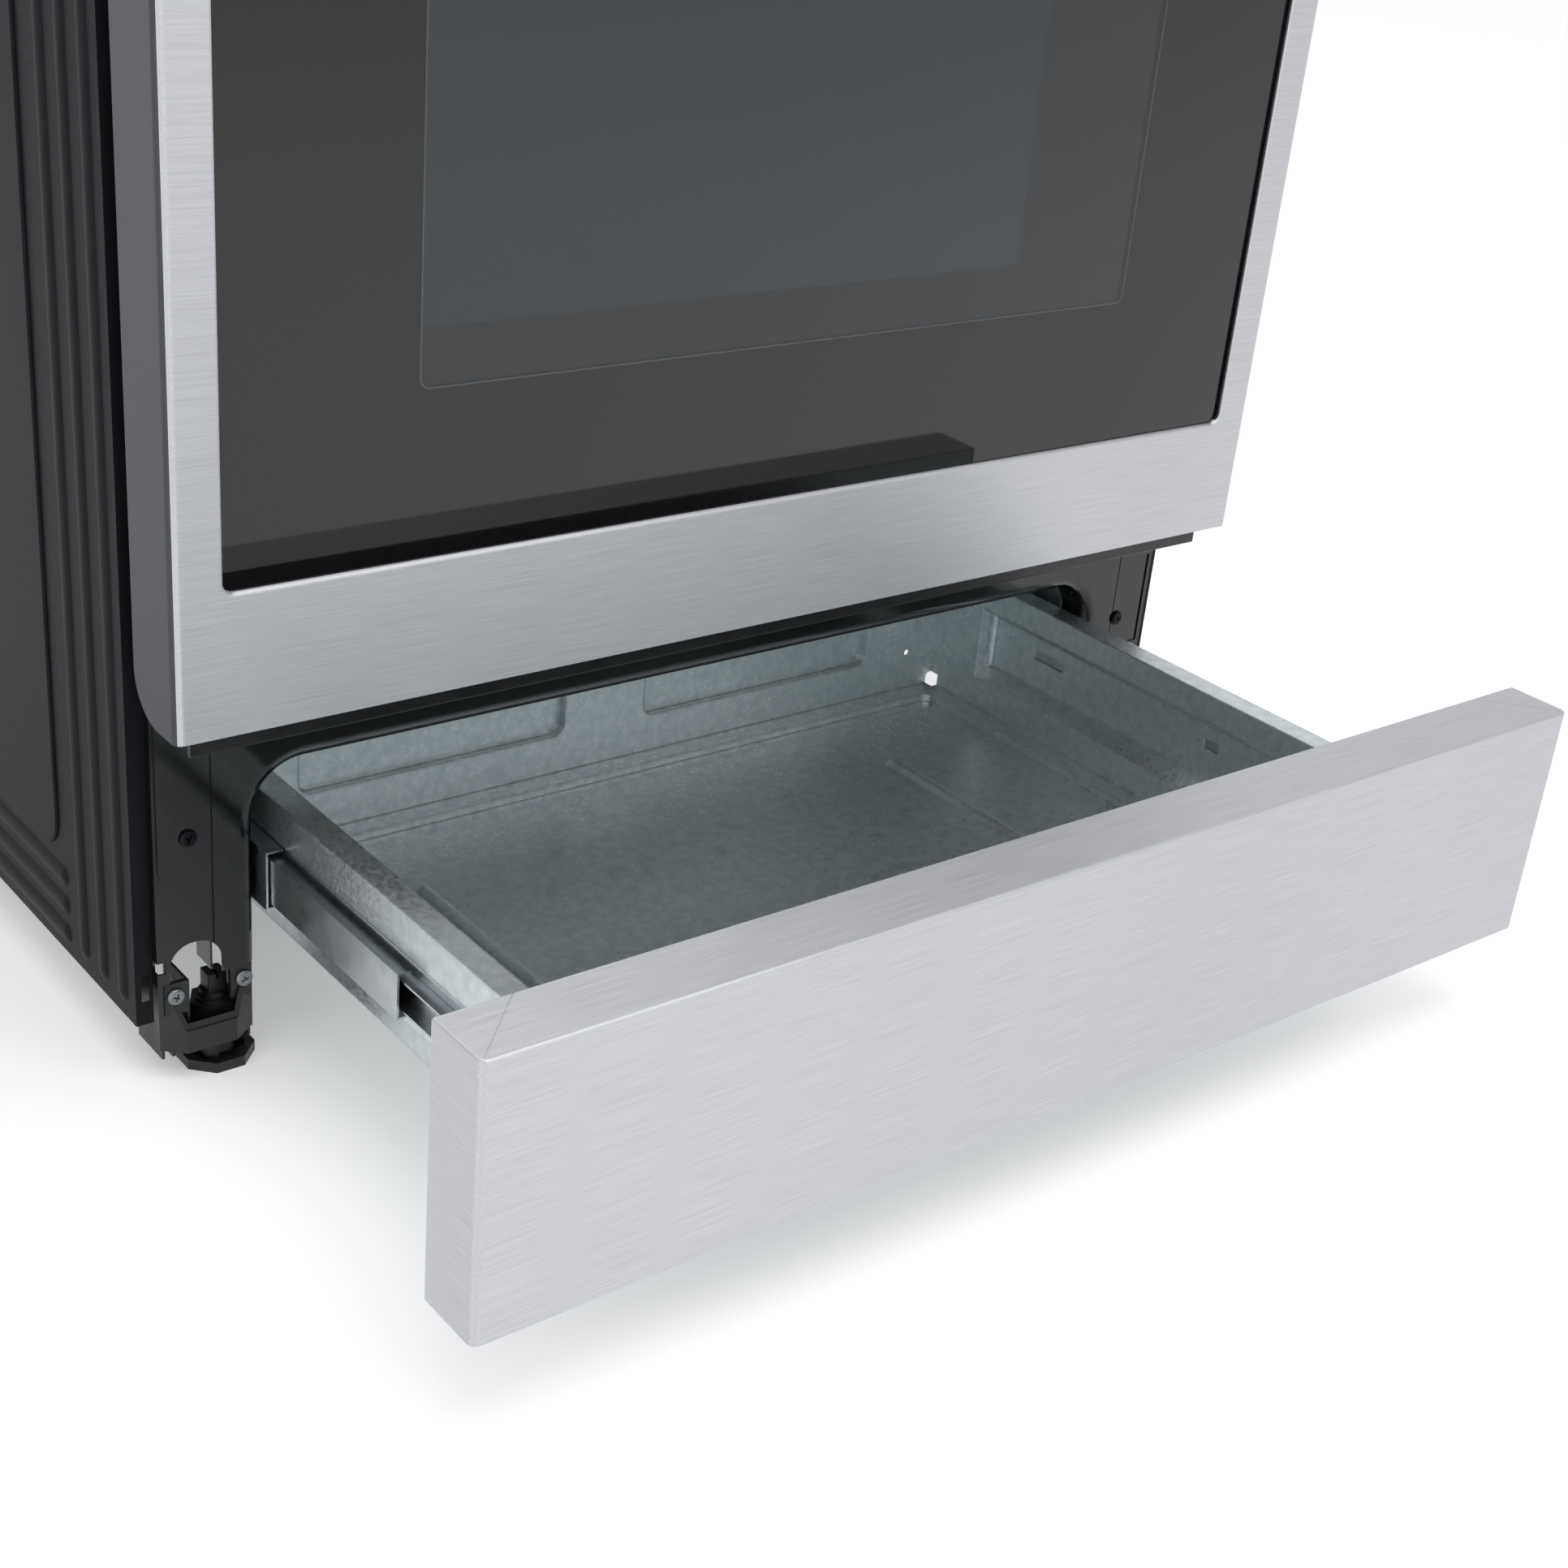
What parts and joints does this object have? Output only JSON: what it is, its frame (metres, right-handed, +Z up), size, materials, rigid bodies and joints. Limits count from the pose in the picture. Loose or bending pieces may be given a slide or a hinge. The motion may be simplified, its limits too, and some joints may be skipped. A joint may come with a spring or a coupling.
{
  "type": "freestanding gas range",
  "caption": "Freestanding gas range with brushed steel fronts: oven with drop-down glass door, storage drawer on slides, cooktop with grates, push-and-turn knobs, levelling legs.",
  "frame": {"origin": "on the floor, under the middle of the whole range as stored, with its drawer standing out", "axes": "+X to the right seen from the front, +Y towards the wall, +Z up; the drawer and the door open towards -Y"},
  "size_m": [0.7616, 0.9366, 0.945],
  "materials": {
    "side_panel_left": "textured black coating",
    "side_panel_right": "textured black coating",
    "back_panel": "galvanised steel",
    "rear_vent_trim": "horizontally brushed stainless steel",
    "base_front_frame": "gloss black enamel",
    "base_chassis": "galvanised steel",
    "oven_front_frame": "gloss black enamel",
    "leg_brackets": "moulded black plastic",
    "body_screws": "bright zinc plate",
    "oven_liner": "dark speckled oven enamel",
    "oven_floor": "dark speckled oven enamel",
    "insulation": "glass fibre",
    "door_gasket": "glass fibre",
    "oven_burners": "bare metal",
    "oven_lamp": "clear heat-resisting glass",
    "hinge_arms": "bright zinc plate",
    "slide_outer_members": "bright zinc plate",
    "cooktop_panel": "gloss black porcelain enamel",
    "burner_heads": "die-cast aluminium",
    "burner_caps": "matt black enamelled iron",
    "spark_electrodes": "white ceramic",
    "control_fascia": "horizontally brushed stainless steel",
    "display_glass": "black printed glass",
    "electrical_modules": "moulded black plastic",
    "gas_valves": "bare metal",
    "gas_supply": "bare metal",
    "drawer_front": "horizontally brushed stainless steel",
    "drawer_backer": "galvanised steel",
    "drawer_box": "galvanised steel",
    "drawer_screws": "bright zinc plate",
    "slide_inner_members": "bright zinc plate",
    "slide_middle_left": "bright zinc plate",
    "slide_middle_right": "bright zinc plate",
    "door_skin": "horizontally brushed stainless steel",
    "door_outer_glass": "dark tinted glass",
    "door_inner_glass": "clear heat-resisting glass",
    "door_liner": "dark speckled oven enamel",
    "door_bottom_trim": "moulded black plastic",
    "door_handle": "brushed stainless steel bar",
    "door_screws": "bright zinc plate",
    "hinge_channels": "bright zinc plate",
    "rack_lower": "chromed wire",
    "rack_upper": "chromed wire",
    "grate_left": "matt black enamelled iron",
    "grate_centre": "matt black enamelled iron",
    "grate_right": "matt black enamelled iron",
    "leg_front_left": "moulded black plastic",
    "leg_front_right": "moulded black plastic",
    "leg_rear_left": "moulded black plastic",
    "leg_rear_right": "moulded black plastic",
    "valve_stem_1": "turned metal",
    "knob_1": "brushed metal knob",
    "valve_stem_2": "turned metal",
    "knob_2": "brushed metal knob",
    "valve_stem_3": "turned metal",
    "knob_3": "brushed metal knob",
    "valve_stem_4": "turned metal",
    "knob_4": "brushed metal knob",
    "valve_stem_5": "turned metal",
    "knob_5": "brushed metal knob"
  },
  "bodies": {
    "body": {"side_panel_left": "side_panel_left", "side_panel_right": "side_panel_right", "back_panel": "back_panel", "rear_vent_trim": "rear_vent_trim", "base_front_frame": "base_front_frame", "base_chassis": "base_chassis", "oven_front_frame": "oven_front_frame", "leg_brackets": "leg_brackets", "body_screws": "body_screws", "oven_liner": "oven_liner", "oven_floor": "oven_floor", "insulation": "insulation", "door_gasket": "door_gasket", "oven_burners": "oven_burners", "oven_lamp": "oven_lamp", "hinge_arms": "hinge_arms", "slide_outer_members": "slide_outer_members", "cooktop_panel": "cooktop_panel", "burner_heads": "burner_heads", "burner_caps": "burner_caps", "spark_electrodes": "spark_electrodes", "control_fascia": "control_fascia", "display_glass": "display_glass", "electrical_modules": "electrical_modules", "gas_valves": "gas_valves", "gas_supply": "gas_supply"},
    "drawer": {"drawer_front": "drawer_front", "drawer_backer": "drawer_backer", "drawer_box": "drawer_box", "drawer_screws": "drawer_screws", "slide_inner_members": "slide_inner_members"},
    "slide_left": {"slide_middle_left": "slide_middle_left"},
    "slide_right": {"slide_middle_right": "slide_middle_right"},
    "oven_door": {"door_skin": "door_skin", "door_outer_glass": "door_outer_glass", "door_inner_glass": "door_inner_glass", "door_liner": "door_liner", "door_bottom_trim": "door_bottom_trim", "door_handle": "door_handle", "door_screws": "door_screws", "hinge_channels": "hinge_channels"},
    "lower_rack": {"rack_lower": "rack_lower"},
    "upper_rack": {"rack_upper": "rack_upper"},
    "left_grate": {"grate_left": "grate_left"},
    "centre_grate": {"grate_centre": "grate_centre"},
    "right_grate": {"grate_right": "grate_right"},
    "leg_front_left": {"leg_front_left": "leg_front_left"},
    "leg_front_right": {"leg_front_right": "leg_front_right"},
    "leg_rear_left": {"leg_rear_left": "leg_rear_left"},
    "leg_rear_right": {"leg_rear_right": "leg_rear_right"},
    "valve_stem_1": {"valve_stem_1": "valve_stem_1"},
    "knob_1": {"knob_1": "knob_1"},
    "valve_stem_2": {"valve_stem_2": "valve_stem_2"},
    "knob_2": {"knob_2": "knob_2"},
    "valve_stem_3": {"valve_stem_3": "valve_stem_3"},
    "knob_3": {"knob_3": "knob_3"},
    "valve_stem_4": {"valve_stem_4": "valve_stem_4"},
    "knob_4": {"knob_4": "knob_4"},
    "valve_stem_5": {"valve_stem_5": "valve_stem_5"},
    "knob_5": {"knob_5": "knob_5"}
  },
  "joints": [
    {"name": "drawer_slide", "type": "slide", "parent": "body", "child": "drawer", "axis": [0, -1, 0], "range_m": [-0.282, 0.09]},
    {"name": "slide_left_travel", "type": "slide", "parent": "body", "child": "slide_left", "axis": [0, -1, 0], "range_m": [-0.141, 0.045]},
    {"name": "slide_right_travel", "type": "slide", "parent": "body", "child": "slide_right", "axis": [0, -1, 0], "range_m": [-0.141, 0.045]},
    {"name": "door_hinge", "type": "hinge", "parent": "body", "child": "oven_door", "pos_m": [0, -0.163, 0.24], "axis": [1, 0, 0], "range_deg": [0, 90]},
    {"name": "lower_rack_slide", "type": "slide", "parent": "body", "child": "lower_rack", "axis": [0, -1, 0], "range_m": [0, 0.014]},
    {"name": "upper_rack_slide", "type": "slide", "parent": "body", "child": "upper_rack", "axis": [0, -1, 0], "range_m": [0, 0.014]},
    {"name": "left_grate_lift", "type": "slide", "parent": "body", "child": "left_grate", "axis": [0, 0, 1], "range_m": [0, 0.12]},
    {"name": "centre_grate_lift", "type": "slide", "parent": "body", "child": "centre_grate", "axis": [0, 0, 1], "range_m": [0, 0.12]},
    {"name": "right_grate_lift", "type": "slide", "parent": "body", "child": "right_grate", "axis": [0, 0, 1], "range_m": [0, 0.12]},
    {"name": "front_left_leg_screw", "type": "slide", "parent": "body", "child": "leg_front_left", "axis": [0, 0, -1], "range_m": [-0.004, 0.02]},
    {"name": "front_right_leg_screw", "type": "slide", "parent": "body", "child": "leg_front_right", "axis": [0, 0, -1], "range_m": [-0.004, 0.02]},
    {"name": "rear_left_leg_screw", "type": "slide", "parent": "body", "child": "leg_rear_left", "axis": [0, 0, -1], "range_m": [-0.004, 0.02]},
    {"name": "rear_right_leg_screw", "type": "slide", "parent": "body", "child": "leg_rear_right", "axis": [0, 0, -1], "range_m": [-0.004, 0.02]},
    {"name": "knob_1_push", "type": "slide", "parent": "body", "child": "valve_stem_1", "axis": [0, 0.9744, -0.2249], "range_m": [0, 0.003], "stiffness_N_per_m": 800, "springref_m": -0.004},
    {"name": "knob_1_turn", "type": "hinge", "parent": "valve_stem_1", "child": "knob_1", "pos_m": [-0.3, -0.17466, 0.80082], "axis": [0, -0.9744, 0.2249], "range_deg": [0, 240]},
    {"name": "knob_2_push", "type": "slide", "parent": "body", "child": "valve_stem_2", "axis": [0, 0.9744, -0.2249], "range_m": [0, 0.003], "stiffness_N_per_m": 800, "springref_m": -0.004},
    {"name": "knob_2_turn", "type": "hinge", "parent": "valve_stem_2", "child": "knob_2", "pos_m": [-0.2, -0.17466, 0.80082], "axis": [0, -0.9744, 0.2249], "range_deg": [0, 240]},
    {"name": "knob_3_push", "type": "slide", "parent": "body", "child": "valve_stem_3", "axis": [0, 0.9744, -0.2249], "range_m": [0, 0.003], "stiffness_N_per_m": 800, "springref_m": -0.004},
    {"name": "knob_3_turn", "type": "hinge", "parent": "valve_stem_3", "child": "knob_3", "pos_m": [0, -0.17466, 0.80082], "axis": [0, -0.9744, 0.2249], "range_deg": [0, 240]},
    {"name": "knob_4_push", "type": "slide", "parent": "body", "child": "valve_stem_4", "axis": [0, 0.9744, -0.2249], "range_m": [0, 0.003], "stiffness_N_per_m": 800, "springref_m": -0.004},
    {"name": "knob_4_turn", "type": "hinge", "parent": "valve_stem_4", "child": "knob_4", "pos_m": [0.2, -0.17466, 0.80082], "axis": [0, -0.9744, 0.2249], "range_deg": [0, 240]},
    {"name": "knob_5_push", "type": "slide", "parent": "body", "child": "valve_stem_5", "axis": [0, 0.9744, -0.2249], "range_m": [0, 0.003], "stiffness_N_per_m": 800, "springref_m": -0.004},
    {"name": "knob_5_turn", "type": "hinge", "parent": "valve_stem_5", "child": "knob_5", "pos_m": [0.3, -0.17466, 0.80082], "axis": [0, -0.9744, 0.2249], "range_deg": [0, 240]}
  ],
  "couplings": [
    {"joint": "slide_left_travel", "follows": "drawer_slide", "ratio": 0.5},
    {"joint": "slide_right_travel", "follows": "drawer_slide", "ratio": 0.5}
  ]
}
